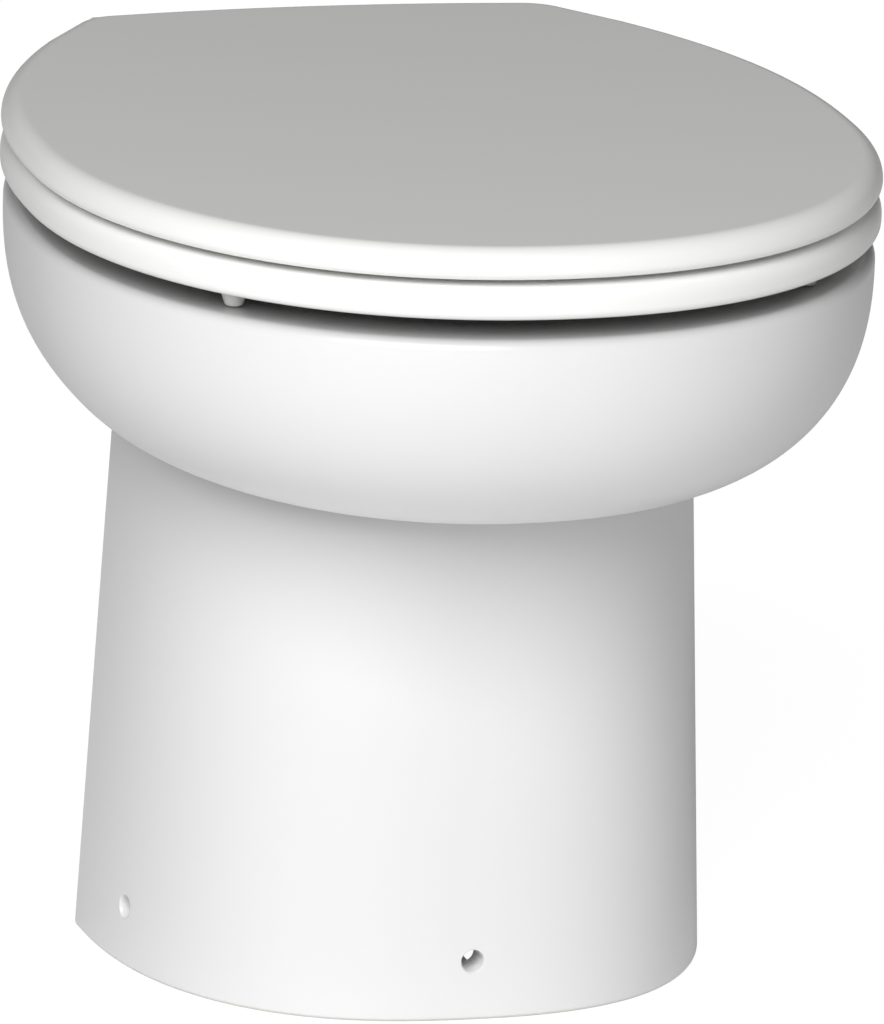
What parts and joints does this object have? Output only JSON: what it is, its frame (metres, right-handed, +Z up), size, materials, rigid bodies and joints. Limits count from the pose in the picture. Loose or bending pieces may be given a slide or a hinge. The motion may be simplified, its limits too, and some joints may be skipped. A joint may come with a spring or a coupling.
{
  "type": "electric marine toilet",
  "caption": "White china marine toilet with a hinged seat and lid, a macerator pump with its motor behind the pedestal, and a solenoid valve for the rinse water.",
  "frame": {"origin": "centre of the bounding box's footprint, on the floor the pedestal stands on", "axes": "+Z up; the front of the bowl points along -Y and the hinges lie towards +Y; +X is the sitter's left hand side, where the rinse valve and the discharge pipe are"},
  "size_m": [0.37, 0.4646, 0.3735],
  "materials": {
    "china": "white glazed china, high gloss",
    "seat_plastic": "white moulded seat plastic, gloss",
    "bumper_rubber": "off-white soft rubber, matt",
    "white_nylon": "white nylon, satin",
    "black_plastic": "black glass-filled plastic, satin",
    "grey_plastic": "grey moulded plastic, satin",
    "black_rubber": "black rubber, matt",
    "stainless_steel": "stainless steel, lightly brushed",
    "motor_paint": "black baked paint, satin",
    "laminations": "dark stacked steel",
    "ferrite": "dark grey ferrite, matt",
    "hose": "milky reinforced hose, satin"
  },
  "bodies": {
    "base": {"china_bowl": "china", "floor_bracket_front": "white_nylon", "floor_bracket_right": "white_nylon", "floor_bracket_left": "white_nylon", "hinge_post_left": "seat_plastic", "hinge_pin_left": "stainless_steel", "hinge_bolt_left": "stainless_steel", "hinge_washer_left": "black_rubber", "wing_nut_left": "white_nylon", "hinge_post_right": "seat_plastic", "hinge_pin_right": "stainless_steel", "hinge_bolt_right": "stainless_steel", "hinge_washer_right": "black_rubber", "wing_nut_right": "white_nylon", "outlet_seal": "black_rubber", "clamp_ring_left": "stainless_steel", "clamp_ring_right": "stainless_steel", "clamp_bolt_1": "stainless_steel", "clamp_bolt_2": "stainless_steel", "clamp_bolt_3": "stainless_steel", "clamp_bolt_4": "stainless_steel", "macerator_housing": "black_plastic", "inspection_cap": "grey_plastic", "inspection_cap_ring": "black_rubber", "wear_plate": "stainless_steel", "shaft_seal": "black_rubber", "motor_bell": "motor_paint", "motor_bearing_front": "stainless_steel", "motor_casing": "motor_paint", "motor_field_ring": "ferrite", "motor_brush_gear": "black_plastic", "motor_tie_rod_left": "stainless_steel", "motor_tie_rod_right": "stainless_steel", "motor_bearing_rear": "stainless_steel", "motor_end_cap": "motor_paint", "cable_gland": "black_plastic", "joker_valve": "black_rubber", "discharge_spigot": "black_plastic", "union_nut": "grey_plastic", "rinse_spud": "white_nylon", "rinse_hose": "hose", "valve_bracket": "stainless_steel", "valve_body": "white_nylon", "valve_diaphragm": "black_rubber", "valve_core_tube": "stainless_steel", "valve_coil": "black_plastic", "plunger_spring": "stainless_steel"},
    "seat": {"seat": "seat_plastic", "seat_bumper_front_left": "bumper_rubber", "seat_bumper_front_right": "bumper_rubber", "seat_bumper_rear_left": "bumper_rubber", "seat_bumper_rear_right": "bumper_rubber"},
    "lid": {"lid": "seat_plastic", "lid_bumper_left": "bumper_rubber", "lid_bumper_right": "bumper_rubber"},
    "rotor": {"motor_shaft": "stainless_steel", "cutter_blade": "stainless_steel", "impeller": "grey_plastic", "motor_rotor": "laminations"},
    "plunger": {"valve_plunger": "stainless_steel"}
  },
  "joints": [
    {"name": "seat_hinge", "type": "hinge", "parent": "base", "child": "seat", "pos_m": [0, 0.21825, 0.3585], "axis": [-1, 0, 0], "range_deg": [0, 95]},
    {"name": "lid_hinge", "type": "hinge", "parent": "seat", "child": "lid", "pos_m": [0, 0.21825, 0.3585], "axis": [-1, 0, 0], "range_deg": [0, 93]},
    {"name": "pump_spin", "type": "hinge", "parent": "base", "child": "rotor", "pos_m": [0, 0, 0.098], "axis": [0, 1, 0], "continuous": true},
    {"name": "plunger_slide", "type": "slide", "parent": "base", "child": "plunger", "axis": [0, 0, 1], "range_m": [0, 0.003], "stiffness_N_per_m": 300, "springref_m": -0.004, "deforming": ["plunger_spring"]}
  ]
}
